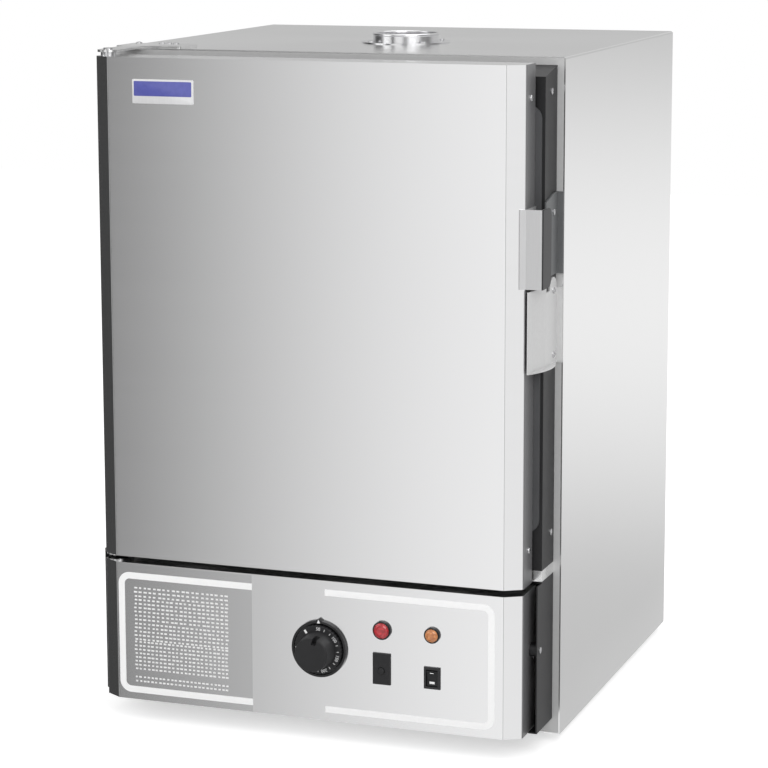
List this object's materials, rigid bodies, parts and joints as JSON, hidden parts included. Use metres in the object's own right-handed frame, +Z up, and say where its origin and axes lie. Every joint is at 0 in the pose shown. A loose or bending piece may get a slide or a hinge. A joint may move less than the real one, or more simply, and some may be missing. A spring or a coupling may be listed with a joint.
{
  "type": "dry heat sterilizer",
  "caption": "Bench dry heat sterilizer: stainless cabinet, left-hinged door with side pull, insulated chamber with wire shelves, roof vent and control panel.",
  "frame": {"origin": "middle of the overall footprint, on the surface that the feet stand on", "axes": "+X the viewer's right, +Y to the back, +Z up; the door and panel face -Y"},
  "size_m": [0.44, 0.5174, 0.6373],
  "materials": {
    "case_steel": "polished stainless, faint vertical grain",
    "front_steel": "brushed stainless door and panel",
    "neck_dark": "satin black",
    "rail_steel": "bright stainless",
    "liner_steel": "dull stainless",
    "galvanised": "zinc plated sheet",
    "wool": "mineral wool",
    "silicone": "grey silicone",
    "heater_sheath": "heat-darkened sheath",
    "copper_bulb": "dull copper alloy",
    "vent_steel": "spun bright steel",
    "handle_steel": "brushed stainless",
    "fastener": "bright plated",
    "bush_bronze": "sintered bronze",
    "black_plastic": "matte black",
    "gloss_black": "gloss black",
    "red_lens": "translucent red",
    "amber_lens": "translucent amber",
    "foot_rubber": "black rubber",
    "shelf_wire": "plated wire"
  },
  "bodies": {
    "cabinet": {"outer_wrapper": "case_steel", "front_plate": "rail_steel", "back_panel": "galvanised", "base_pan": "galvanised", "deck_plate": "galvanised", "neck_frame": "neck_dark", "divider_rail": "rail_steel", "lower_neck": "neck_dark", "side_screws": "fastener", "fascia_spacers": "fastener", "chamber_liner": "liner_steel", "insulation": "wool", "neck_gasket": "silicone", "shelf_rail_right": "liner_steel", "shelf_rail_left": "liner_steel", "floor_plate": "liner_steel", "heater_element": "heater_sheath", "heater_flanges": "fastener", "thermostat_bulb": "copper_bulb", "bulb_clips": "liner_steel", "vent_pipe": "liner_steel", "vent_flange": "vent_steel", "shutter_pivot": "fastener", "roof_screws": "fastener", "hinge_bracket_upper": "handle_steel", "hinge_bracket_lower": "handle_steel", "hinge_pin_upper": "fastener", "hinge_pin_lower": "fastener", "striker_plate": "galvanised", "catch_bracket": "handle_steel", "fascia_panel": "front_steel", "thermostat_body": "black_plastic", "dial_ring": "gloss_black", "heat_lamp_bezel": "gloss_black", "heat_lamp_lens": "red_lens", "power_lamp_bezel": "gloss_black", "power_lamp_lens": "amber_lens", "breaker_body": "black_plastic", "rocker_housing": "gloss_black", "rubber_feet": "foot_rubber", "foot_screws": "fastener", "cable_gland": "black_plastic", "gland_nut": "black_plastic", "back_screws": "fastener"},
    "door": {"door_skin": "front_steel", "door_inner_pan": "liner_steel", "door_insulation": "wool", "hinge_bushes": "bush_bronze", "hinge_washers": "fastener", "door_handle": "handle_steel", "handle_screws": "fastener", "door_rivets": "fastener"},
    "knob": {"control_knob": "black_plastic", "thermostat_shaft": "fastener"},
    "rocker": {"rocker_paddle": "black_plastic"},
    "reset": {"reset_button": "black_plastic"},
    "shutter": {"vent_shutter": "vent_steel"},
    "shelf_top": {"shelf_upper": "shelf_wire"},
    "shelf_bottom": {"shelf_lower": "shelf_wire"}
  },
  "joints": [
    {"name": "door_swing", "type": "hinge", "parent": "cabinet", "child": "door", "pos_m": [-0.1985, -0.21125, 0.39], "axis": [0, 0, -1], "range_deg": [0, 110]},
    {"name": "knob_turn", "type": "hinge", "parent": "cabinet", "child": "knob", "pos_m": [0.0142, -0.24, 0.0907], "axis": [0, 1, 0], "range_deg": [0, 280]},
    {"name": "rocker_tilt", "type": "hinge", "parent": "cabinet", "child": "rocker", "pos_m": [0.1223, -0.23325, 0.0736], "axis": [1, 0, 0], "range_deg": [-14, 0]},
    {"name": "reset_push", "type": "slide", "parent": "cabinet", "child": "reset", "axis": [0, 1, 0], "range_m": [0, 0.003], "stiffness_N_per_m": 300},
    {"name": "shutter_turn", "type": "hinge", "parent": "cabinet", "child": "shutter", "pos_m": [0.018, -0.00375, 0.63], "axis": [0, 0, 1], "range_deg": [0, 45]},
    {"name": "upper_shelf_slide", "type": "slide", "parent": "cabinet", "child": "shelf_top", "axis": [0, -1, 0], "range_m": [0, 0.042]},
    {"name": "lower_shelf_slide", "type": "slide", "parent": "cabinet", "child": "shelf_bottom", "axis": [0, -1, 0], "range_m": [0, 0.042]}
  ]
}
